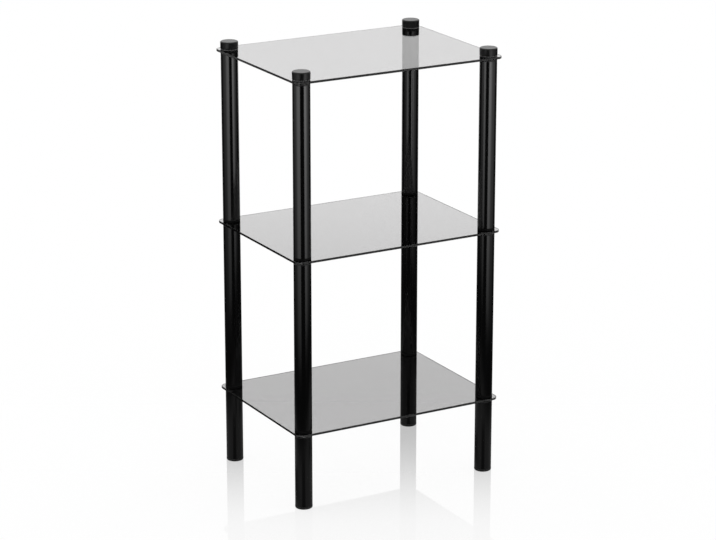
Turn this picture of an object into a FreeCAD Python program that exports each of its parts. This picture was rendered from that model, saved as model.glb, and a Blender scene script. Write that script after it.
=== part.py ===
import FreeCAD, Part
import os
import Sketcher

# Three-shelf glass etagere, in millimetres. X runs along the shelves' long side, the front faces -Y,
# Z points up, and the origin lies on the floor under the middle of the shelves.

SIZES = {
    # Glass shelves
    "shelf_width": 400.0,
    "shelf_depth": 300.0,
    "glass_thickness": 4.0,
    "shelf_corner_radius": 12.0,
    "glass_arris": 0.4,
    "post_inset": 19.5,
    "glass_hole_diameter": 10.0,
    # Black tube sections
    "tube_diameter": 30.0,
    "tube_wall": 1.0,
    "tube_end_chamfer": 0.3,
    "leg_tube_length": 126.0,
    "lower_tube_length": 295.0,
    "upper_tube_length": 295.0,
    # Moulded plugs in the tube ends
    "flange_height": 3.0,
    "flange_edge_radius": 0.4,
    "skirt_length": 20.0,
    "skirt_wall": 2.5,
    "plug_clearance": 0.05,
    "boss_wall": 2.5,
    "boss_floor": 2.0,
    # Threaded inserts and studs
    "insert_diameter": 11.0,
    "insert_length": 14.0,
    "insert_clearance": 0.05,
    "stud_diameter": 8.0,
    "stud_engagement": 12.0,
    "stud_end_chamfer": 0.8,
    "thread_clearance": 0.05,
    # Washers on both sides of each shelf
    "washer_thickness": 1.0,
    "washer_hole_clearance": 0.3,
    # Caps
    "cap_overhang": 0.4,
    "cap_height": 13.0,
    "cap_edge_radius": 1.8,
    "cap_rim_chamfer": 0.3,
    "cap_socket_depth": 9.0,
    # Feet
    "foot_overhang": 0.1,
    "foot_height": 5.0,
    "foot_edge_radius": 2.2,
    "foot_skirt_length": 15.0,
}

# One post from the floor to the top: each piece stands on the one before it.
STACK = [
    ("foot", "foot_height"),
    ("leg_tube", "leg_tube_length"),
    ("leg_top_flange", "flange_height"),
    ("bottom_shelf_lower_washer", "washer_thickness"),
    ("bottom_shelf", "glass_thickness"),
    ("bottom_shelf_upper_washer", "washer_thickness"),
    ("lower_tube_bottom_flange", "flange_height"),
    ("lower_tube", "lower_tube_length"),
    ("lower_tube_top_flange", "flange_height"),
    ("middle_shelf_lower_washer", "washer_thickness"),
    ("middle_shelf", "glass_thickness"),
    ("middle_shelf_upper_washer", "washer_thickness"),
    ("upper_tube_bottom_flange", "flange_height"),
    ("upper_tube", "upper_tube_length"),
    ("upper_tube_top_flange", "flange_height"),
    ("top_shelf_lower_washer", "washer_thickness"),
    ("top_shelf", "glass_thickness"),
    ("top_shelf_upper_washer", "washer_thickness"),
    ("cap", "cap_height"),
]

CORNERS = {
    "front_left": (-1, -1),
    "front_right": (1, -1),
    "back_left": (-1, 1),
    "back_right": (1, 1),
}
CENTRE = [(0, 0)]
FOUR_POSTS = list(CORNERS.values())
ON_PLANE = "0"
FLAT = 1e-6

# Sizes that follow from the driving ones
POST_X = "(Sizes.shelf_width / 2 - Sizes.post_inset)"
POST_Y = "(Sizes.shelf_depth / 2 - Sizes.post_inset)"
TUBE_RADIUS = "Sizes.tube_diameter / 2"
BORE_RADIUS = "(Sizes.tube_diameter / 2 - Sizes.tube_wall)"
SKIRT_RADIUS = f"({BORE_RADIUS} - Sizes.plug_clearance)"
SKIRT_BORE_RADIUS = f"({SKIRT_RADIUS} - Sizes.skirt_wall)"
INSERT_RADIUS = "Sizes.insert_diameter / 2"
INSERT_POCKET_RADIUS = f"({INSERT_RADIUS} + Sizes.insert_clearance)"
BOSS_RADIUS = f"({INSERT_POCKET_RADIUS} + Sizes.boss_wall)"
STUD_RADIUS = "Sizes.stud_diameter / 2"
THREAD_RADIUS = f"({STUD_RADIUS} + Sizes.thread_clearance)"
WASHER_HOLE_RADIUS = f"({STUD_RADIUS} + Sizes.washer_hole_clearance)"
CLAMPED_THICKNESS = "(Sizes.glass_thickness + 2 * Sizes.washer_thickness)"

doc = FreeCAD.newDocument("Etagere")
sheet = doc.addObject("Spreadsheet::Sheet", "Sizes")
for row, (alias, value) in enumerate(SIZES.items(), start=1):
    sheet.set(f"A{row}", alias)
    sheet.set(f"B{row}", str(value))
    sheet.setAlias(f"B{row}", alias)
doc.recompute()

levels = {}
pieces_below = []
for stacked_piece, height in STACK:
    levels[stacked_piece] = " + ".join(pieces_below) or ON_PLANE
    pieces_below.append(f"Sizes.{height}")

sub_parts = []


def new_body(label, z, corner=(0, 0), upside_down=False):
    """An empty body whose own origin stands at height z, on the post of the given corner."""
    body = doc.addObject("PartDesign::Body", label)
    body.Label = label
    half_turn = FreeCAD.Rotation(FreeCAD.Vector(1, 0, 0), 180 if upside_down else 0)
    body.Placement = FreeCAD.Placement(FreeCAD.Vector(), half_turn)
    body.setExpression("Placement.Base.x", f"{corner[0]} * {POST_X}")
    body.setExpression("Placement.Base.y", f"{corner[1]} * {POST_Y}")
    body.setExpression("Placement.Base.z", z)
    sub_parts.append(body)
    return body


def new_sketch(body, name, height=ON_PLANE):
    """An empty sketch, level, at a height above the body's own origin."""
    sketch = body.newObject("Sketcher::SketchObject", name)
    plane = next(item for item in body.Origin.OriginFeatures if item.Role == "XY_Plane")
    sketch.AttachmentSupport = [(plane, "")]
    sketch.MapMode = "FlatFace"
    sketch.setExpression("AttachmentOffset.Base.z", height)
    return sketch


def constrain(sketch, expression, kind, *where):
    """One dimension of a sketch, driven by an expression."""
    index = sketch.addConstraint(Sketcher.Constraint(kind, *where))
    sketch.setExpression(f"Constraints[{index}]", expression)


def circle_sketch(body, name, centres, radii, height=ON_PLANE):
    """Concentric circles round the body's axis, or round all four posts."""
    sketch = new_sketch(body, name, height)
    guess_x = SIZES["shelf_width"] / 2 - SIZES["post_inset"]
    guess_y = SIZES["shelf_depth"] / 2 - SIZES["post_inset"]
    up = FreeCAD.Vector(0, 0, 1)
    for side_x, side_y in centres:
        middle = FreeCAD.Vector(side_x * guess_x, side_y * guess_y, 0)
        rings = [sketch.addGeometry(Part.Circle(middle, up, 1 + ring)) for ring in range(len(radii))]
        for ring, radius in zip(rings, radii):
            constrain(sketch, radius, "Radius", ring, 1.0)
            if ring != rings[0]:
                sketch.addConstraint(Sketcher.Constraint("Coincident", ring, 3, rings[0], 3))
        origin = (-1, 1)
        centre = (rings[0], 3)
        if (side_x, side_y) == CENTRE[0]:
            sketch.addConstraint(Sketcher.Constraint("Coincident", *centre, *origin))
            continue
        across = (*origin, *centre) if side_x > 0 else (*centre, *origin)
        along = (*origin, *centre) if side_y > 0 else (*centre, *origin)
        constrain(sketch, POST_X, "DistanceX", *across, guess_x)
        constrain(sketch, POST_Y, "DistanceY", *along, guess_y)
    return sketch


def pad(body, name, sketch, length, downwards=False):
    """Material raised from a sketch, or hung below it."""
    feature = body.newObject("PartDesign::Pad", name)
    feature.Profile = sketch
    feature.setExpression("Length", length)
    feature.Reversed = downwards
    return feature


def pocket(body, name, base, sketch, depth, upwards=False):
    """A recess cut down from a sketch, or up from it."""
    doc.recompute()
    volume_before = base.Shape.Volume
    feature = body.newObject("PartDesign::Pocket", name)
    feature.Profile = sketch
    feature.setExpression("Length", depth)
    feature.Reversed = upwards
    doc.recompute()
    if feature.Shape.Volume > volume_before - FLAT:
        raise RuntimeError(f"{body.Label}: {name} cuts nothing")
    return feature


def edge_names(base, wanted):
    """The names of a feature's edges that pass a test."""
    doc.recompute()
    return [f"Edge{n}" for n, edge in enumerate(base.Shape.Edges, start=1) if wanted(edge)]


def fillet(body, name, base, wanted, radius):
    """Rounded edges."""
    edges = edge_names(base, wanted)
    feature = body.newObject("PartDesign::Fillet", name)
    feature.Base = (base, edges)
    feature.setExpression("Radius", radius)
    return feature


def chamfer(body, name, base, wanted, size):
    """Edges broken at 45 degrees."""
    edges = edge_names(base, wanted)
    feature = body.newObject("PartDesign::Chamfer", name)
    feature.Base = (base, edges)
    feature.setExpression("Size", size)
    return feature


def is_level(edge):
    return edge.BoundBox.ZLength < FLAT


def is_upright(edge):
    return edge.BoundBox.XLength < FLAT and edge.BoundBox.YLength < FLAT


def is_circle(edge):
    return isinstance(edge.Curve, Part.Circle)


def rim_at(height):
    """A test for round edges at one height."""

    def wanted(edge):
        return is_level(edge) and is_circle(edge) and abs(edge.BoundBox.ZMin - height) < FLAT

    return wanted


def shelf(name):
    """A glass plate with rounded corners, broken edges and a drilled hole at each post."""
    body = new_body(name, levels[name])
    outline = new_sketch(body, f"{name}_outline")
    half_width = SIZES["shelf_width"] / 2
    half_depth = SIZES["shelf_depth"] / 2
    corner_signs = ((-1, -1), (1, -1), (1, 1), (-1, 1))
    points = [FreeCAD.Vector(x * half_width, y * half_depth, 0) for x, y in corner_signs]
    sides = [outline.addGeometry(Part.LineSegment(points[n - 1], points[n])) for n in range(len(points))]
    for n, side in enumerate(sides):
        outline.addConstraint(Sketcher.Constraint("Coincident", sides[n - 1], 2, side, 1))
        outline.addConstraint(Sketcher.Constraint("Horizontal" if n % 2 else "Vertical", side))
    outline.addConstraint(Sketcher.Constraint("Symmetric", sides[1], 1, sides[2], 2, -1, 1))
    constrain(outline, "Sizes.shelf_width", "DistanceX", sides[1], 1, sides[1], 2, 2 * half_width)
    constrain(outline, "Sizes.shelf_depth", "DistanceY", sides[2], 1, sides[2], 2, 2 * half_depth)
    plate = pad(body, f"{name}_plate", outline, "Sizes.glass_thickness")
    rounded = fillet(body, f"{name}_corners", plate, is_upright, "Sizes.shelf_corner_radius")
    ground = chamfer(body, f"{name}_arris", rounded, is_level, "Sizes.glass_arris")
    holes = circle_sketch(body, f"{name}_holes", FOUR_POSTS, ["Sizes.glass_hole_diameter / 2"])
    pocket(body, f"{name}_drilled", ground, holes, "Sizes.glass_thickness", upwards=True)


def tube(kind, corner_name):
    """One section of a post: round tube, cut square with the outer edges broken."""
    name = f"{kind}_{corner_name}"
    body = new_body(name, levels[kind], CORNERS[corner_name])
    section = circle_sketch(body, f"{name}_section", CENTRE, [TUBE_RADIUS, BORE_RADIUS])
    length = f"Sizes.{kind}_length"
    wall = pad(body, f"{name}_wall", section, length)
    least_radius = SIZES["tube_diameter"] / 2 - SIZES["tube_wall"] / 2
    chamfer(
        body,
        f"{name}_ends",
        wall,
        lambda edge: is_circle(edge) and edge.Curve.Radius > least_radius,
        "Sizes.tube_end_chamfer",
    )


def plugs(name, flange, upside_down):
    """Four moulded plugs: a flange as wide as the tube, a skirt in its bore and a boss for the insert.

    Each body's own origin lies on the flange's outer face, which the washer presses on.
    """
    outer_face = levels[flange] if upside_down else f"{levels[flange]} + Sizes.flange_height"
    body = new_body(name, outer_face, upside_down=upside_down)
    under_flange = "-Sizes.flange_height"
    flange_disc = pad(
        body,
        f"{name}_flange",
        circle_sketch(body, f"{name}_flange_circles", FOUR_POSTS, [TUBE_RADIUS]),
        "Sizes.flange_height",
        downwards=True,
    )
    fillet(body, f"{name}_flange_edge", flange_disc, rim_at(0.0), "Sizes.flange_edge_radius")
    skirt_radii = [SKIRT_RADIUS, SKIRT_BORE_RADIUS]
    pad(
        body,
        f"{name}_skirt",
        circle_sketch(body, f"{name}_skirt_rings", FOUR_POSTS, skirt_radii, under_flange),
        "Sizes.skirt_length",
        downwards=True,
    )
    boss = pad(
        body,
        f"{name}_boss",
        circle_sketch(body, f"{name}_boss_circles", FOUR_POSTS, [BOSS_RADIUS], under_flange),
        "Sizes.insert_length - Sizes.flange_height + Sizes.boss_floor",
        downwards=True,
    )
    pocket(
        body,
        f"{name}_insert_pocket",
        boss,
        circle_sketch(body, f"{name}_pocket_circles", FOUR_POSTS, [INSERT_POCKET_RADIUS]),
        "Sizes.insert_length",
    )


def inserts(name, flange, upside_down):
    """Four threaded inserts, flush with the outer faces of their plugs."""
    outer_face = levels[flange] if upside_down else f"{levels[flange]} + Sizes.flange_height"
    body = new_body(name, outer_face, upside_down=upside_down)
    rings = circle_sketch(body, f"{name}_rings", FOUR_POSTS, [INSERT_RADIUS, THREAD_RADIUS])
    pad(body, f"{name}_sleeves", rings, "Sizes.insert_length", downwards=True)


def stud_rods(body, name, centres, length):
    """Threaded rod with both ends broken, one at each centre."""
    circles = circle_sketch(body, f"{name}_circles", centres, [STUD_RADIUS])
    rods = pad(body, f"{name}_rods", circles, length)
    chamfer(body, f"{name}_ends", rods, is_circle, "Sizes.stud_end_chamfer")


def shelf_studs(shelf_name):
    """Four double-ended studs that pull the tubes above and below a shelf together."""
    name = f"{shelf_name}_studs"
    lower_end = f"{levels[shelf_name]} - Sizes.washer_thickness - Sizes.stud_engagement"
    body = new_body(name, lower_end)
    stud_rods(body, name, FOUR_POSTS, f"{CLAMPED_THICKNESS} + 2 * Sizes.stud_engagement")


def washers(name, level):
    """Four flat washers, as wide as the tube, on one face of a shelf."""
    body = new_body(name, levels[level])
    rings = circle_sketch(body, f"{name}_rings", FOUR_POSTS, [TUBE_RADIUS, WASHER_HOLE_RADIUS])
    pad(body, f"{name}_discs", rings, "Sizes.washer_thickness")


def cap(corner_name):
    """A flat-topped disc with a rounded upper edge and a socket for its stud underneath."""
    name = f"cap_{corner_name}"
    body = new_body(name, levels["cap"], CORNERS[corner_name])
    circle = circle_sketch(body, f"{name}_circle", CENTRE, [f"{TUBE_RADIUS} + Sizes.cap_overhang"])
    disc = pad(body, f"{name}_disc", circle, "Sizes.cap_height")
    rounded = fillet(body, f"{name}_edge", disc, rim_at(SIZES["cap_height"]), "Sizes.cap_edge_radius")
    broken = chamfer(body, f"{name}_rim", rounded, rim_at(0.0), "Sizes.cap_rim_chamfer")
    socket = circle_sketch(body, f"{name}_socket_circle", CENTRE, [THREAD_RADIUS])
    pocket(body, f"{name}_socket", broken, socket, "Sizes.cap_socket_depth", upwards=True)


def cap_stud(corner_name):
    """The cap's stud, which passes through the top shelf into the upper tube's insert."""
    name = f"cap_stud_{corner_name}"
    lower_end = f"{levels['cap']} - {CLAMPED_THICKNESS} - Sizes.stud_engagement"
    body = new_body(name, lower_end, CORNERS[corner_name])
    length = f"Sizes.stud_engagement + {CLAMPED_THICKNESS} + Sizes.cap_socket_depth"
    stud_rods(body, name, CENTRE, length)


def foot(corner_name):
    """A moulded glide: a flange with a rounded lower edge and a hollow skirt in the leg tube."""
    name = f"foot_{corner_name}"
    body = new_body(name, levels["foot"], CORNERS[corner_name])
    circle = circle_sketch(body, f"{name}_circle", CENTRE, [f"{TUBE_RADIUS} + Sizes.foot_overhang"])
    flange = pad(body, f"{name}_flange", circle, "Sizes.foot_height")
    fillet(body, f"{name}_edge", flange, rim_at(0.0), "Sizes.foot_edge_radius")
    rings = circle_sketch(
        body, f"{name}_skirt_rings", CENTRE, [SKIRT_RADIUS, SKIRT_BORE_RADIUS], "Sizes.foot_height"
    )
    pad(body, f"{name}_skirt", rings, "Sizes.foot_skirt_length")


# The pieces, from the floor up
for corner in CORNERS:
    foot(corner)
    tube("leg_tube", corner)
    tube("lower_tube", corner)
    tube("upper_tube", corner)
    cap(corner)
    cap_stud(corner)

for tube_end, is_bottom_end in (
    ("leg_top", False),
    ("lower_tube_bottom", True),
    ("lower_tube_top", False),
    ("upper_tube_bottom", True),
    ("upper_tube_top", False),
):
    plugs(f"{tube_end}_plugs", f"{tube_end}_flange", is_bottom_end)
    inserts(f"{tube_end}_inserts", f"{tube_end}_flange", is_bottom_end)

for shelf_name in ("bottom_shelf", "middle_shelf", "top_shelf"):
    shelf(shelf_name)
    for face in ("lower", "upper"):
        washers(f"{shelf_name}_{face}_washers", f"{shelf_name}_{face}_washer")

shelf_studs("bottom_shelf")
shelf_studs("middle_shelf")

doc.recompute()
for item in doc.Objects:
    if "Invalid" in item.State or "Error" in item.State:
        raise RuntimeError(f"{item.Label} failed to build: {item.State}")
for sub_part in sub_parts:
    if sub_part.Shape.isNull() or not sub_part.Shape.isValid():
        raise RuntimeError(f"{sub_part.Label} has no valid shape")

os.makedirs("parts", exist_ok=True)
for sub_part in sub_parts:
    sub_part.Shape.exportStep(os.path.join("parts", f"{sub_part.Label}.step"))
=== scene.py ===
import math
from functools import reduce

import bpy
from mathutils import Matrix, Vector


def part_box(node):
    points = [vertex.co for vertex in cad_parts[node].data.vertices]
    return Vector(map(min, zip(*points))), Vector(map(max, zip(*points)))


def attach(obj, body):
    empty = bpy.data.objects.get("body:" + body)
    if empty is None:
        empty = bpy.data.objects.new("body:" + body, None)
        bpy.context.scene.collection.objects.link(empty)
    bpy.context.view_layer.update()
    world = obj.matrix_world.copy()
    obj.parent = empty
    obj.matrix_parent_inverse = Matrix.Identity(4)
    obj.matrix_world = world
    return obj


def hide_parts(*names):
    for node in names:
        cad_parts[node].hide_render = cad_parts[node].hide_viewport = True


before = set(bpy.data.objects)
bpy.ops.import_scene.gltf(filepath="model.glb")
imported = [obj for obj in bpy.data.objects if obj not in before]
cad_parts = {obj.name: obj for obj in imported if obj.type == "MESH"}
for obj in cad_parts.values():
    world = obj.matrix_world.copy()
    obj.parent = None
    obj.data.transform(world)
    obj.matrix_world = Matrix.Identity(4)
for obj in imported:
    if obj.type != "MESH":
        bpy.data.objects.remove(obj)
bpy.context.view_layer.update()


# A round glide moulded in black polypropylene, with the fine grain of a sparked mould. Its hollow skirt is
# pressed into the lower end of the leg tube. Its rounded rim, which the floor rubs paler, carries the post.
CORNERS = ("front_left", "front_right", "back_left", "back_right")
FOOT_BLACK = (0.006, 0.006, 0.006)
FOOT_ROUGHNESS = 0.5
MOULD_GRAIN = 0.0004
MOULD_GRAIN_DEPTH = 0.00004
MOULD_CLOUDS = 0.012
CLOUD_ROUGHNESS = 0.12
RUBBED_BLACK = (0.03, 0.03, 0.03)
RUBBED_HEIGHT = (0.0025, 0.0005)
RUBBED_PATCHES = (0.55, 0.95)
RUBBED_POLISH = 0.08


class Signal:
    """One socket of a node tree. Arithmetic on it adds Math nodes, and node() adds any other node."""

    def __init__(self, tree, socket=None):
        self.tree = tree
        self.socket = socket

    def node(self, kind, settings=None, inputs=None, output=0):
        """A new node: its settings first, then the values or links of its sockets."""
        made = self.tree.nodes.new(kind)
        for name, value in (settings or {}).items():
            setattr(made, name, value)
        for name, value in (inputs or {}).items():
            if isinstance(value, Signal):
                self.tree.links.new(value.socket, made.inputs[name])
            else:
                made.inputs[name].default_value = value
        return Signal(self.tree, made.outputs[output] if len(made.outputs) else None)

    def maths(self, operation, *values):
        """A Math node on the given values."""
        return self.node("ShaderNodeMath", {"operation": operation}, dict(enumerate(values)))

    def __add__(self, other):
        return self.maths("ADD", self, other)

    def __sub__(self, other):
        return self.maths("SUBTRACT", self, other)

    def __rsub__(self, other):
        return self.maths("SUBTRACT", other, self)

    def __mul__(self, other):
        return self.maths("MULTIPLY", self, other)

    def __truediv__(self, other):
        return self.maths("DIVIDE", self, other)

    __radd__ = __add__
    __rmul__ = __mul__


def new_finish(name):
    """An empty material, the signal that its nodes start from, and its Object coordinates."""
    material = bpy.data.materials.new(name)
    material.use_nodes = True
    material.node_tree.nodes.clear()
    start = Signal(material.node_tree)
    return material, start, start.node("ShaderNodeTexCoord", output="Object")


def finish_surface(start, inputs):
    """Ends a finish in one Principled shader with the given values."""
    shader = start.node("ShaderNodeBsdfPrincipled", None, inputs)
    start.node("ShaderNodeOutputMaterial", None, {"Surface": shader})


def along_axis(vector, axis):
    """How far a vector reaches along X, Y or Z."""
    return vector.node("ShaderNodeSeparateXYZ", None, {"Vector": vector}, output=axis)


def fade(signal, start, end):
    """A soft step from 0 where the signal is at start to 1 where it is at end, rising or falling."""
    limits = {"Value": signal, "From Min": start, "From Max": end}
    return signal.node("ShaderNodeMapRange", {"interpolation_type": "SMOOTHSTEP"}, limits)


def speckle(place, grain_size, detail=2.0):
    """Noise from 0 to 1 whose grains are about as large as said, in metres."""
    look = {"Vector": place, "Scale": 1 / grain_size, "Detail": detail}
    return place.node("ShaderNodeTexNoise", None, look)


def tinted(mask, colour, masked_colour):
    """One colour, or the other where the mask is 1: inputs 6 and 7 and output 2 of a Mix node."""
    colours = {0: mask, 6: (*colour, 1.0), 7: (*masked_colour, 1.0)}
    return mask.node("ShaderNodeMix", {"data_type": "RGBA"}, colours, output=2)


def relief(height, depth):
    """A normal bent by a height from 0 to 1 that stands for a relief of that depth, in metres."""
    return height.node("ShaderNodeBump", None, {"Height": height, "Distance": depth})


def moulded_black(name, black, roughness, shine=0.5):
    """Black moulded plastic with a sparked grain, paler in patches near the floor, which rubs it."""
    material, start, place = new_finish(name)
    grain = speckle(place, MOULD_GRAIN)
    cloud = speckle(place, MOULD_CLOUDS)
    rubbed = fade(along_axis(place, "Z"), *RUBBED_HEIGHT) * fade(cloud + grain * 0.5, *RUBBED_PATCHES)
    finish_surface(
        start,
        {
            "Base Color": tinted(rubbed, black, RUBBED_BLACK),
            "Roughness": roughness + CLOUD_ROUGHNESS * (cloud - 0.5) - RUBBED_POLISH * rubbed,
            "Specular IOR Level": shine,
            "Normal": relief(grain, MOULD_GRAIN_DEPTH),
        },
    )
    return material


def dress(names, material):
    """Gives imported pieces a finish."""
    for name in names:
        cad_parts[name].material_slots[0].material = material


post_axes = {}
for corner in CORNERS:
    foot_low, foot_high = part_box(f"foot_{corner}")
    middle = (foot_low + foot_high) / 2
    post_axes[corner] = Vector((middle.x, middle.y, 0.0))

foot_black = moulded_black("foot_polypropylene", FOOT_BLACK, FOOT_ROUGHNESS)
dress([f"foot_{corner}" for corner in CORNERS], foot_black)


# The posts' sections: round steel tube with a 1 mm wall, cut square and powder coated in semi-gloss black.
# Baked powder flows to a faint orange peel, and it draws back thin and worn at the cut edges.
TUBES = ("leg_tube", "lower_tube", "upper_tube")
COAT_BLACK = (0.0012, 0.0012, 0.0013)
COAT_ROUGHNESS = 0.15
ORANGE_PEEL = 0.0016
PEEL_DEPTH = 0.000012
FLOW_CLOUDS = 0.045
FLOW_ROUGHNESS = 0.04
WORN_COAT = (0.02, 0.02, 0.02)
WORN_FROM_CUT = (0.0006, 0.00018)
WORN_SPOTS = 0.003
WORN_PATCHES = (0.4, 0.7)
WORN_ROUGHNESS = 0.15


def combined(operation, signals):
    """Many signals folded into one, such as the least or the greatest of them."""
    return reduce(lambda one, other: one.maths(operation, one, other), signals)


powder_coat, start, place = new_finish("semi_gloss_powder_coat")
height = along_axis(place, "Z")
cuts = [end.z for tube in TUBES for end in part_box(f"{tube}_front_left")]
from_cut = combined("MINIMUM", [start.maths("ABSOLUTE", height - cut) for cut in cuts])
worn = fade(from_cut, *WORN_FROM_CUT) * fade(speckle(place, WORN_SPOTS), *WORN_PATCHES)
flow = speckle(place, FLOW_CLOUDS)
finish_surface(
    start,
    {
        "Base Color": tinted(worn, COAT_BLACK, WORN_COAT),
        "Roughness": COAT_ROUGHNESS + FLOW_ROUGHNESS * (flow - 0.5) + WORN_ROUGHNESS * worn,
        "Normal": relief(speckle(place, ORANGE_PEEL), PEEL_DEPTH),
    },
)
dress([f"{tube}_{corner}" for tube in TUBES for corner in CORNERS], powder_coat)


# A plug in each tube end that meets a shelf, moulded in black plastic. Its flange is the collar between the
# tube and the glass, and its boss holds the threaded insert inside the tube. The plugs in the lower ends
# stand on the glass, so they are of a softer and duller grade.
TUBE_TOPS = ("leg_top", "lower_tube_top", "upper_tube_top")
TUBE_BOTTOMS = ("lower_tube_bottom", "upper_tube_bottom")
PLUG_BLACK = (0.006, 0.006, 0.006)
PLUG_ROUGHNESS = 0.55
SOFT_BLACK = (0.0015, 0.0015, 0.0015)
SOFT_ROUGHNESS = 0.6
SOFT_SHINE = 0.1

plug_black = moulded_black("plug_polypropylene", PLUG_BLACK, PLUG_ROUGHNESS)
soft_black = moulded_black("soft_plug_plastic", SOFT_BLACK, SOFT_ROUGHNESS, SOFT_SHINE)
dress([f"{end}_plugs" for end in TUBE_TOPS], plug_black)
dress([f"{end}_plugs" for end in TUBE_BOTTOMS], soft_black)


# A turned brass insert in the boss of each plug, flush with its face. Two bands of slanting knurl, rolled in
# opposite directions with a groove between them, keep it from turning or pulling out.
KNURL_TEETH = 28
TOOTH_STEPS = 4
INSERT_ROWS = 38
KNURL_DEPTH = 0.00025
RISE_PER_TOOTH = 0.003
GROOVE_WIDTH = 0.0016
BORE_CLEARANCE = 0.00005
KNURL_SHARP_ANGLE = 25
INSERT_SIZES = ("Length", "Outer radius", "Bore radius", "Knurl depth", "Groove width", "Slant")
BRASS = (0.76, 0.56, 0.24)
BRASS_ROUGHNESS = 0.22
TARNISHED_BRASS = (0.5, 0.33, 0.12)
TARNISH_CLOUDS = 0.004
TARNISH_PATCHES = (0.45, 0.75)
TARNISH_ROUGHNESS = 0.2
LATHE_LINES = 0.002
LATHE_LINE_STRETCH = (1.0, 1.0, 12.0)
LATHE_LINE_DEPTH = 0.00001
SEAM_REACH = 0.000001


def new_tree(name, sizes):
    """An empty geometry tree that takes named sizes and a finish, its start, and the sizes' signals."""
    tree = bpy.data.node_groups.new(name, "GeometryNodeTree")
    tree.interface.new_socket("Geometry", in_out="INPUT", socket_type="NodeSocketGeometry")
    for size in sizes:
        tree.interface.new_socket(size, in_out="INPUT", socket_type="NodeSocketFloat")
    tree.interface.new_socket("Finish", in_out="INPUT", socket_type="NodeSocketMaterial")
    tree.interface.new_socket("Geometry", in_out="OUTPUT", socket_type="NodeSocketGeometry")
    start = Signal(tree)
    return tree, start, [start.node("NodeGroupInput", output=size) for size in sizes]


def net_place(start):
    """How far round and how far along a net a point lies, each from 0 to 1."""
    position = start.node("GeometryNodeInputPosition")
    return along_axis(position, "X") + 0.5, along_axis(position, "Y") + 0.5


def turned_on_posts(start, columns, rows, radius, rise, turn):
    """Ends a tree: a net of columns round an axis takes a radius and a rise, and stands on every point."""
    net_size = {"Size X": 1.0, "Size Y": 1.0, "Vertices X": columns + 1, "Vertices Y": rows}
    net = start.node("GeometryNodeMeshGrid", None, net_size)
    angle = turn * math.tau
    across = radius * start.maths("COSINE", angle)
    back = radius * start.maths("SINE", angle)
    spot = start.node("ShaderNodeCombineXYZ", None, {"X": across, "Y": back, "Z": rise})
    bent = start.node("GeometryNodeSetPosition", None, {"Geometry": net, "Position": spot})
    closed = start.node("GeometryNodeMergeByDistance", None, {"Geometry": bent, "Distance": SEAM_REACH})
    posts = start.node("NodeGroupInput", output="Geometry")
    set_up = start.node("GeometryNodeInstanceOnPoints", None, {"Points": posts, "Instance": closed})
    whole = start.node("GeometryNodeRealizeInstances", None, {"Geometry": set_up})
    finish = start.node("NodeGroupInput", output="Finish")
    dressed = start.node("GeometryNodeSetMaterial", None, {"Geometry": whole, "Material": finish})
    start.node("NodeGroupOutput", None, {"Geometry": dressed})


def ridge(signal):
    """A zigzag from 1 to 0 and back each time the signal grows by 1."""
    return signal.maths("ABSOLUTE", signal.maths("FRACT", signal) * 2 - 1)


def clamped(signal):
    """The signal, kept from 0 to 1."""
    return signal.maths("MINIMUM", signal.maths("MAXIMUM", signal, 0.0), 1.0)


def stretched(place, scale):
    """The place with its axes scaled, so that a pattern on it is drawn out or squeezed."""
    return place.node("ShaderNodeMapping", None, {"Vector": place, "Scale": scale})


def radius_on_posts(name):
    """The radius of round pieces that stand on all four posts."""
    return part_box(name)[1].x - post_axes["front_right"].x


def grown(name, axes, foot_height, tree, values, sharp_angle):
    """A plain mesh piece that a tree makes on the given post axes, from a height upwards."""
    mesh = bpy.data.meshes.new(name)
    mesh.from_pydata([axis + Vector((0.0, 0.0, foot_height)) for axis in axes], [], [])
    piece = bpy.data.objects.new(name, mesh)
    bpy.context.scene.collection.objects.link(piece)
    modifier = piece.modifiers.new(tree.name, "NODES")
    modifier.node_group = tree
    for item in tree.interface.items_tree:
        if item.in_out == "INPUT" and item.name in values:
            modifier[item.identifier] = values[item.name]
    evaluated = piece.evaluated_get(bpy.context.evaluated_depsgraph_get())
    piece.data = bpy.data.meshes.new_from_object(evaluated)
    piece.modifiers.clear()
    piece.data.shade_smooth()
    piece.data.set_sharp_from_angle(angle=math.radians(sharp_angle))
    return piece


# The rows of the net go down the bore, up the knurled outside and back to the top of the bore.
insert_tree, start, (length, outer, bore, depth, groove, slant) = new_tree("knurled_insert", INSERT_SIZES)
turn, along = net_place(start)
row = along * (INSERT_ROWS - 1)
last_row = start.maths("GREATER_THAN", row, INSERT_ROWS - 1.5)
at_bore_top = start.maths("LESS_THAN", row, 0.5) + last_row
in_bore = start.maths("LESS_THAN", row, 1.5) + last_row
rise = clamped((row - 2) / (INSERT_ROWS - 4)) * length
from_middle = rise - length / 2
in_groove = start.maths("LESS_THAN", start.maths("ABSOLUTE", from_middle), groove / 2)
lean = start.maths("SIGN", from_middle) * rise / slant
knurl_cut = ridge(turn * KNURL_TEETH + lean) * depth
groove_cut = in_groove * depth * 2
end_cut = depth - start.maths("MINIMUM", rise, length - rise)
outside = outer - combined("MAXIMUM", [knurl_cut, groove_cut, end_cut])
radius = in_bore * bore + (1 - in_bore) * outside
rise = at_bore_top * length + (1 - at_bore_top) * rise
turned_on_posts(start, KNURL_TEETH * TOOTH_STEPS, INSERT_ROWS, radius, rise, turn)

brass, start, place = new_finish("turned_brass")
tarnish = speckle(place, TARNISH_CLOUDS, detail=4.0)
lathe_lines = speckle(stretched(place, LATHE_LINE_STRETCH), LATHE_LINES)
finish_surface(
    start,
    {
        "Base Color": tinted(fade(tarnish, *TARNISH_PATCHES), BRASS, TARNISHED_BRASS),
        "Metallic": 1.0,
        "Roughness": BRASS_ROUGHNESS + TARNISH_ROUGHNESS * tarnish,
        "Normal": relief(lathe_lines, LATHE_LINE_DEPTH),
    },
)

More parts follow.
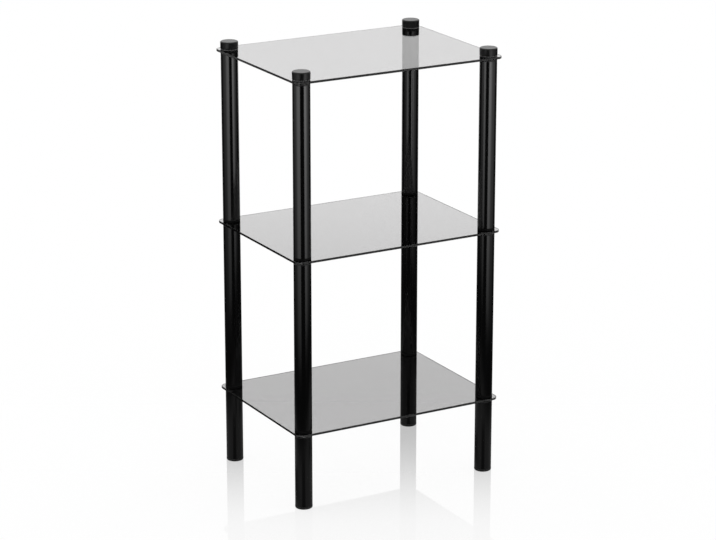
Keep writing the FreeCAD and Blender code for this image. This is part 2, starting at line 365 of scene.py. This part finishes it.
for end in TUBE_TOPS + TUBE_BOTTOMS:
    insert_low, insert_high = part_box(f"{end}_inserts")
    insert_sizes = {
        "Length": insert_high.z - insert_low.z,
        "Outer radius": radius_on_posts(f"{end}_inserts"),
        "Bore radius": radius_on_posts("bottom_shelf_studs") + BORE_CLEARANCE,
        "Knurl depth": KNURL_DEPTH,
        "Groove width": GROOVE_WIDTH,
        "Slant": RISE_PER_TOOTH,
        "Finish": brass,
    }
    name = f"{end}_knurled_inserts"
    inserts = grown(name, post_axes.values(), insert_low.z, insert_tree, insert_sizes, KNURL_SHARP_ANGLE)
    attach(inserts, "frame")
    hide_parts(f"{end}_inserts")


# Double-ended studs through the holes of the two lower shelves: M8 threaded rod, cut, broken at the ends and
# zinc plated. Each screws into the inserts above and below, and so pulls two tubes onto the glass.
THREAD_PITCH = 0.00125
THREAD_DEPTH = 0.0007
FLANK_STEEPNESS = 1.3
END_BREAK = 0.0008
THREAD_COLUMNS = 36
STEPS_PER_PITCH = 8
THREAD_SHARP_ANGLE = 20
THREAD_SIZES = ("Length", "Radius", "Pitch", "Depth", "End break")
ZINC = (0.56, 0.58, 0.6)
BRIGHT_ZINC = (0.72, 0.73, 0.74)
ZINC_ROUGHNESS = 0.25
SPANGLE_CLOUDS = 0.0025
SPANGLE_PATCHES = (0.3, 0.7)
SPANGLE_ROUGHNESS = 0.18
ROLLING_STREAKS = 0.0006
STREAK_STRETCH = (1.0, 1.0, 0.1)
STREAK_DEPTH = 0.00001

# The rows of the net go from the axis across the lower end, up the thread and back to the axis.
thread_tree, start, (length, crest, pitch, depth, end_break) = new_tree("rolled_thread", THREAD_SIZES)
rows = start.maths("ROUND", length / pitch * STEPS_PER_PITCH) + 3
turn, along = net_place(start)
row = along * (rows - 1)
at_axis = start.maths("LESS_THAN", row, 0.5) + start.maths("GREATER_THAN", row, rows - 1.5)
rise = clamped((row - 1) / (rows - 3)) * length
flank = clamped((ridge(rise / pitch - turn) - 0.5) * FLANK_STEEPNESS + 0.5)
threaded = crest - depth * (1 - flank)
broken_end = crest - end_break + start.maths("MINIMUM", rise, length - rise)
radius = start.maths("MINIMUM", threaded, broken_end) * (1 - at_axis)
turned_on_posts(start, THREAD_COLUMNS, rows, radius, rise, turn)

zinc, start, place = new_finish("zinc_plate")
spangle = speckle(place, SPANGLE_CLOUDS, detail=3.0)
streaks = speckle(stretched(place, STREAK_STRETCH), ROLLING_STREAKS)
finish_surface(
    start,
    {
        "Base Color": tinted(fade(spangle, *SPANGLE_PATCHES), ZINC, BRIGHT_ZINC),
        "Metallic": 1.0,
        "Roughness": ZINC_ROUGHNESS + SPANGLE_ROUGHNESS * spangle,
        "Normal": relief(streaks, STREAK_DEPTH),
    },
)


def threaded_rods(name, axes, low, high, radius):
    """Threaded rods of one length on the given post axes."""
    sizes = {
        "Length": high.z - low.z,
        "Radius": radius,
        "Pitch": THREAD_PITCH,
        "Depth": THREAD_DEPTH,
        "End break": END_BREAK,
        "Finish": zinc,
    }
    return grown(name, axes, low.z, thread_tree, sizes, THREAD_SHARP_ANGLE)


for shelf in ("bottom_shelf", "middle_shelf"):
    stud_low, stud_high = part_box(f"{shelf}_studs")
    stud_radius = radius_on_posts(f"{shelf}_studs")
    studs = threaded_rods(f"{shelf}_threaded_studs", post_axes.values(), stud_low, stud_high, stud_radius)
    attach(studs, "frame")
    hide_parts(f"{shelf}_studs")


# Flat washers on both faces of every shelf, 1 mm thick, which keep the glass off the collars and the caps.
# Those on the collars are punched from black rubber. Those under the caps are of clear vinyl, a little
# milky, on which a cap slides as it is screwed down.
SHELVES = ("bottom_shelf", "middle_shelf", "top_shelf")
UNDER_CAPS = "top_shelf_upper_washers"
RUBBER_BLACK = (0.002, 0.002, 0.002)
RUBBER_ROUGHNESS = 0.55
RUBBER_SHINE = 0.12
BLOOM_GREY = (0.006, 0.006, 0.006)
BLOOM_CLOUDS = 0.005
BLOOM_PATCHES = (0.5, 0.8)
RUBBER_SKIN = 0.0003
SKIN_ROUGHNESS = 0.15
SKIN_DEPTH = 0.00003
MILKY_GREY = (0.2, 0.2, 0.2)
MILKY_WHITE = (0.28, 0.28, 0.28)
MILK_CLOUDS = 0.006
VINYL_ROUGHNESS = 0.4
VINYL_CLEARNESS = 0.5
VINYL_IOR = 1.53
ROLLER_MARKS = 0.0008
ROLLER_ROUGHNESS = 0.15
ROLLER_DEPTH = 0.00002

rubber, start, place = new_finish("matte_black_rubber")
bloom = fade(speckle(place, BLOOM_CLOUDS, detail=3.0), *BLOOM_PATCHES)
skin = speckle(place, RUBBER_SKIN)
finish_surface(
    start,
    {
        "Base Color": tinted(bloom, RUBBER_BLACK, BLOOM_GREY),
        "Roughness": RUBBER_ROUGHNESS + SKIN_ROUGHNESS * skin,
        "Specular IOR Level": RUBBER_SHINE,
        "Normal": relief(skin, SKIN_DEPTH),
    },
)

vinyl, start, place = new_finish("clear_vinyl")
milk = speckle(place, MILK_CLOUDS, detail=3.0)
roller_marks = speckle(place, ROLLER_MARKS)
finish_surface(
    start,
    {
        "Base Color": tinted(milk, MILKY_GREY, MILKY_WHITE),
        "Roughness": VINYL_ROUGHNESS + ROLLER_ROUGHNESS * roller_marks,
        "Transmission Weight": VINYL_CLEARNESS,
        "IOR": VINYL_IOR,
        "Normal": relief(roller_marks, ROLLER_DEPTH),
    },
)

all_washers = [f"{shelf}_{face}_washers" for shelf in SHELVES for face in ("lower", "upper")]
dress([washers for washers in all_washers if washers != UNDER_CAPS], rubber)
dress([UNDER_CAPS], vinyl)


# Three shelves of 4 mm grey float glass, cut with rounded corners, drilled at each post, and ground and
# polished at the edge. The tint is in the glass itself, so it looks black where one looks into an edge.
GLASS_IOR = 1.52
GLASS_TINT = (0.4, 0.39, 0.395)
TINT_DENSITY = 125.0
LAMP_TINT = (0.85, 0.85, 0.85)
STEEP_FACE = (0.99, 0.9)
GRINDING_GRAIN = 0.0005
GRINDING_STRETCH = (1.0, 1.0, 0.15)
GRINDING_DEPTH = 0.00001

smoked_glass, start, place = new_finish("smoked_float_glass")
normal = start.node("ShaderNodeTexCoord", output="Normal")
on_edge = fade(start.maths("ABSOLUTE", along_axis(normal, "Z")), *STEEP_FACE)
grinding = speckle(stretched(place, GRINDING_STRETCH), GRINDING_GRAIN) * on_edge
glass = start.node(
    "ShaderNodeBsdfPrincipled",
    None,
    {
        "Base Color": (1.0, 1.0, 1.0, 1.0),
        "Roughness": 0.0,
        "IOR": GLASS_IOR,
        "Transmission Weight": 1.0,
        "Normal": relief(grinding, GRINDING_DEPTH),
    },
)
lamp_ray = start.node("ShaderNodeLightPath", output="Is Shadow Ray")
lamp_tint = start.node("ShaderNodeBsdfTransparent", None, {"Color": (*LAMP_TINT, 1.0)})
shader = start.node("ShaderNodeMixShader", None, {0: lamp_ray, 1: glass, 2: lamp_tint})
tint_inputs = {"Color": (*GLASS_TINT, 1.0), "Density": TINT_DENSITY}
tint = start.node("ShaderNodeVolumeAbsorption", None, tint_inputs)
start.node("ShaderNodeOutputMaterial", None, {"Surface": shader, "Volume": tint})
dress(SHELVES, smoked_glass)


# A stud moulded into each cap: the same zinc-plated M8 rod, which passes through the top shelf and screws
# into the insert of the upper tube. It turns and rises with its cap.
for corner in CORNERS:
    stud_low, stud_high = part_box(f"cap_stud_{corner}")
    stud_radius = (stud_high.x - stud_low.x) / 2
    stud = threaded_rods(f"cap_thread_{corner}", [post_axes[corner]], stud_low, stud_high, stud_radius)
    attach(stud, f"{corner}_cap")
    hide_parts(f"cap_stud_{corner}")


# Flat round caps that clamp the top shelf, moulded in black plastic a little wider than the tube. The satin
# top keeps the faint rings of the turned mould, and the upper edge is handled smooth.
CAP_BLACK = (0.0015, 0.0015, 0.0015)
CAP_ROUGHNESS = 0.32
CAP_SHINE = 0.3
CAP_GRAIN = 0.0005
CAP_CLOUDS = 0.01
CAP_CLOUD_ROUGHNESS = 0.06
CAP_RELIEF = 0.00002
TOP_DEPTH = (0.0006, 0.0001)
TOP_POLISH = 0.1
MOULD_RINGS = 0.0005
RING_SHARE = 0.3
HANDLED_BLACK = (0.014, 0.014, 0.014)
HANDLED_DEPTH = (0.0016, 0.0)
HANDLED_WIDTH = (0.0022, 0.0005)
HANDLED_PATCHES = (0.3, 0.7)
HANDLED_POLISH = 0.04

cap_low, cap_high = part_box("cap_front_right")
cap_radius = (cap_high.x - cap_low.x) / 2
cap_black, start, place = new_finish("satin_cap_plastic")
off_x = start.maths("ABSOLUTE", along_axis(place, "X")) - post_axes["back_right"].x
off_y = start.maths("ABSOLUTE", along_axis(place, "Y")) - post_axes["back_right"].y
from_axis = start.maths("SQRT", off_x * off_x + off_y * off_y)
below_top = cap_high.z - along_axis(place, "Z")
on_top = fade(below_top, *TOP_DEPTH)
handled = fade(cap_radius - from_axis, *HANDLED_WIDTH) * fade(below_top, *HANDLED_DEPTH)
cloud = speckle(place, CAP_CLOUDS)
rings = ridge(from_axis / MOULD_RINGS) * on_top
surface = rings * RING_SHARE + speckle(place, CAP_GRAIN) * (1 - RING_SHARE)
roughness = CAP_ROUGHNESS + CAP_CLOUD_ROUGHNESS * (cloud - 0.5)
finish_surface(
    start,
    {
        "Base Color": tinted(handled * fade(cloud, *HANDLED_PATCHES), CAP_BLACK, HANDLED_BLACK),
        "Roughness": roughness - TOP_POLISH * on_top - HANDLED_POLISH * handled,
        "Specular IOR Level": CAP_SHINE,
        "Normal": relief(surface, CAP_RELIEF),
    },
)
dress([f"cap_{corner}" for corner in CORNERS], cap_black)


# The floor: plain white with a low gloss, which mirrors the object most round its back feet. The camera sees
# it white, also through the glass. Black paint sees it lit only beside the feet. Polished glass sees it lit
# to the front right, below the camera and far off, as between the black flags of a studio.
FLOOR_REACH = 40.0
FLOOR_OWN_WHITE = 0.12
FLOOR_UNLIT_WHITE = 0.03
FLOOR_IN_PAINT = 0.22
LIT_ROUND_FEET = (0.65, 0.35)
DARK_BEFORE_FEET = 0.75
BEFORE_FOOT_SLOPE = (0.5, 0.2)
BEFORE_FOOT_START = (0.0, 0.03)
BEFORE_FOOT_END = (0.32, 0.2)
FRONT_RIGHT_IN_GLASS = 0.6
FRONT_RIGHT_START = (-0.3, 0.3)
BELOW_CAMERA_IN_GLASS = 0.7
BELOW_CAMERA_START = (0.0, 0.4)
BELOW_CAMERA_SLOPE = (0.6, 0.15)
FAR_OFF = (2.5, 5.0)
FLOOR_IOR = 1.45
GLOSS_ROUGHNESS = 0.03
GLOSS_IN_FRONT = 0.42
GLOSS_AT_BACK_FEET = 3.0
MOST_GLOSS = 0.45
BACK_FEET_START = (-0.42, -0.2)
BACK_FEET_END = (0.32, -0.2)
CAMERA_TURN = math.radians(-29.38)


def light_paths(start):
    """What kind of ray arrives, as masks of 0 or 1."""
    kinds = ("Camera", "Glossy", "Singular", "Transmission")
    rays = [start.node("ShaderNodeLightPath", output=f"Is {kind} Ray") for kind in kinds]
    from_camera, glossy, sharp, refracted = rays
    reflections = start.node("ShaderNodeLightPath", output="Glossy Depth")
    reflected = start.maths("GREATER_THAN", reflections, 0.5)
    looked_through = refracted * (1 - reflected)
    return {
        "looked at": start.maths("MAXIMUM", from_camera, looked_through),
        "in glass": glossy * sharp * (1 - looked_through),
        "in paint": glossy * (1 - sharp),
        "through glass": refracted * reflected,
        "reflected twice": start.maths("GREATER_THAN", reflections, 1.5),
    }


def matte_white(start, white):
    """A matte surface that sends back this share of the light."""
    return start.node("ShaderNodeBsdfDiffuse", None, {"Color": (white, white, white, 1.0)})


def distance_along(place, direction):
    """How far a place lies in a direction."""
    vectors = {0: place, 1: direction}
    return place.node("ShaderNodeVectorMath", {"operation": "DOT_PRODUCT"}, vectors, output="Value")


towards_camera = Vector((math.sin(CAMERA_TURN), -math.cos(CAMERA_TURN), 0.0))
camera_right = Vector((math.cos(CAMERA_TURN), math.sin(CAMERA_TURN), 0.0))
towards_front_right = Vector((1.0, -1.0, 0.0)).normalized()

floor_mesh = bpy.data.meshes.new("floor")
floor_corners = [(x * FLOOR_REACH, y * FLOOR_REACH, 0.0) for x, y in ((-1, -1), (1, -1), (1, 1), (-1, 1))]
floor_mesh.from_pydata(floor_corners, [], [(0, 1, 2, 3)])
floor = bpy.data.objects.new("floor", floor_mesh)
bpy.context.scene.collection.objects.link(floor)

floor_white, start, place = new_finish("white_floor")
floor_mesh.materials.append(floor_white)
path = light_paths(start)
from_middle = start.node("ShaderNodeVectorMath", {"operation": "LENGTH"}, {0: place}, output="Value")
to_front = distance_along(place, towards_camera)
to_right = distance_along(place, camera_right)

# Painted shadow: the light that the black paint sees on the floor is dimmed in a wedge in front of each
# foot, like the shadow of its post from a light behind.
before_feet = []
for axis in post_axes.values():
    ahead = to_front - axis.dot(towards_camera)
    aside = start.maths("ABSOLUTE", to_right - axis.dot(camera_right))
    reach = fade(ahead, *BEFORE_FOOT_START) * fade(ahead, *BEFORE_FOOT_END)
    before_feet.append(fade(aside / ahead, *BEFORE_FOOT_SLOPE) * reach)
beside_feet = 1 - DARK_BEFORE_FEET * combined("MAXIMUM", before_feet)
paint_light = fade(from_middle, *LIT_ROUND_FEET) * FLOOR_IN_PAINT * beside_feet

front_right = fade(distance_along(place, towards_front_right), *FRONT_RIGHT_START)
below_camera = fade(to_front, *BELOW_CAMERA_START) * fade(to_right / to_front, *BELOW_CAMERA_SLOPE)
near_light = front_right * FRONT_RIGHT_IN_GLASS + below_camera * BELOW_CAMERA_IN_GLASS
glass_light = near_light + (1 - near_light) * fade(from_middle, *FAR_OFF)

seen_light = path["looked at"] * (1 - FLOOR_OWN_WHITE) + path["in paint"] * paint_light
seen_light = seen_light + path["in glass"] * (1 - path["through glass"]) * glass_light
mirrored = path["in paint"] + path["in glass"]
own_white = {0: mirrored, 1: matte_white(start, FLOOR_OWN_WHITE), 2: matte_white(start, FLOOR_UNLIT_WHITE)}
own_light = start.node("ShaderNodeMixShader", None, own_white)
glow = start.node("ShaderNodeEmission", None, {"Color": seen_light})
lit = start.node("ShaderNodeAddShader", None, {0: own_light, 1: glow})

back_feet = fade(to_front, *BACK_FEET_START) * fade(to_front, *BACK_FEET_END)
gloss_share = GLOSS_IN_FRONT + (GLOSS_AT_BACK_FEET - GLOSS_IN_FRONT) * back_feet
gloss = start.node("ShaderNodeFresnel", None, {"IOR": FLOOR_IOR}) * gloss_share
gloss = start.maths("MINIMUM", gloss, MOST_GLOSS) * path["looked at"]
mirror_inputs = {"Color": (1.0, 1.0, 1.0, 1.0), "Roughness": GLOSS_ROUGHNESS}
mirror = start.node("ShaderNodeBsdfAnisotropic", None, mirror_inputs)
shader = start.node("ShaderNodeMixShader", None, {0: gloss, 1: lit, 2: mirror})
start.node("ShaderNodeOutputMaterial", None, {"Surface": shader})


# Four tall curved soft boxes round the object, brightest at the top. The two beside the camera draw the two
# soft lights on every post, and two dim ones behind do the same for a view from the back. Only the paint and
# the plastic show them, not the posts' images in the glass, and they don't light the floor.
BOX_DISTANCE = 1.0
BOX_HEIGHT = 0.62
BOX_STEPS = 16
BOX_FOOT_LIGHT = 0.08
SIDE_SHARE = 0.26
SIDE_FACING = (-0.34, 0.34)
FRONT_FACING = (0.36, 0.83)
BACK_FACING = (-0.5, -0.8)
# The angles from the camera's side at which each box begins and ends, in degrees, and its strength
SOFT_BOXES = {
    "soft_box_left": (-18.6, -105.0, 2.6),
    "soft_box_right": (23.6, 105.0, 3.9),
    "soft_box_back_left": (-148.0, -171.0, 1.2),
    "soft_box_back_right": (148.0, 171.0, 1.2),
}

not_lit_by_boxes = bpy.data.collections.new("not_lit_by_boxes")
not_lit_by_boxes.objects.link(floor)
not_lit_by_boxes.collection_objects[0].light_linking.link_state = "EXCLUDE"

for name, (begin, end, strength) in SOFT_BOXES.items():
    box_light, start, place = new_finish(name)
    path = light_paths(start)
    facing = distance_along(place, towards_camera) / BOX_DISTANCE
    in_front = SIDE_SHARE * fade(facing, *SIDE_FACING) + (1 - SIDE_SHARE) * fade(facing, *FRONT_FACING)
    level = in_front + fade(facing, *BACK_FACING)
    upwards = BOX_FOOT_LIGHT + (1 - BOX_FOOT_LIGHT) * (along_axis(place, "Z") / BOX_HEIGHT)
    reflection = path["in paint"] * (1 - path["reflected twice"])
    light = strength * level * upwards * reflection
    glow = start.node("ShaderNodeEmission", None, {"Color": light})
    shader = start.node("ShaderNodeAddShader", None, {0: glow, 1: start.node("ShaderNodeBsdfTransparent")})
    start.node("ShaderNodeOutputMaterial", None, {"Surface": shader})
    corners = []
    for step in range(BOX_STEPS + 1):
        turn = CAMERA_TURN + math.radians(begin + (end - begin) * step / BOX_STEPS)
        for height in (0.0, BOX_HEIGHT):
            corners.append((BOX_DISTANCE * math.sin(turn), -BOX_DISTANCE * math.cos(turn), height))
    strips = [(2 * n, 2 * n + 1, 2 * n + 3, 2 * n + 2) for n in range(BOX_STEPS)]
    box_mesh = bpy.data.meshes.new(name)
    box_mesh.from_pydata(corners, [], strips)
    box_mesh.materials.append(box_light)
    soft_box = bpy.data.objects.new(name, box_mesh)
    bpy.context.scene.collection.objects.link(soft_box)
    soft_box.light_linking.receiver_collection = not_lit_by_boxes
    soft_box.visible_camera = False
    soft_box.visible_diffuse = False
    soft_box.visible_transmission = False
    soft_box.visible_shadow = False


# The room: even white light from all sides. Its upper part is dim where the glass mirrors it, so that the
# tops of the shelves stay grey and clear. The posts' images in the glass don't show it, and stay black.
DIM_ANGLES = (14.5, 20.5)
DIM_SHARE = 0.95
PALER_ANGLES = (21.2, 21.9)
PALER_SHARE = 0.5

world = bpy.data.worlds.new("white_room")
world.use_nodes = True
world.node_tree.nodes.clear()
bpy.context.scene.world = world
start = Signal(world.node_tree)
path = light_paths(start)
upwards = along_axis(start.node("ShaderNodeTexCoord", output="Generated"), "Z")
dim = fade(upwards, *(math.sin(math.radians(angle)) for angle in DIM_ANGLES))
paler = fade(upwards, *(math.sin(math.radians(angle)) for angle in PALER_ANGLES))
lost_in_glass = path["in glass"] * dim * (DIM_SHARE - (DIM_SHARE - PALER_SHARE) * paler)
lost_in_paint = path["in paint"] * path["reflected twice"]
light = 1 - start.maths("MAXIMUM", lost_in_glass, lost_in_paint)
room = start.node("ShaderNodeBackground", None, {"Color": light})
start.node("ShaderNodeOutputWorld", None, {"Surface": room})


# The camera: a long lens from the front left, well above the top shelf, turned and tilted as for the
# photograph. It has no shift and no depth of field, so other views keep the object in the frame and sharp.
CAMERA_TILT = math.radians(17.29)
CAMERA_PLACE = (-2.2349, -3.9689, 1.7811)
CAMERA_LENS = 137.08

lens = bpy.data.cameras.new("camera")
lens.lens = CAMERA_LENS
camera = bpy.data.objects.new("camera", lens)
camera.location = CAMERA_PLACE
camera.rotation_euler = (math.pi / 2 - CAMERA_TILT, 0.0, CAMERA_TURN)
bpy.context.scene.collection.objects.link(camera)
bpy.context.scene.camera = camera
bpy.context.scene.view_settings.view_transform = "Standard"
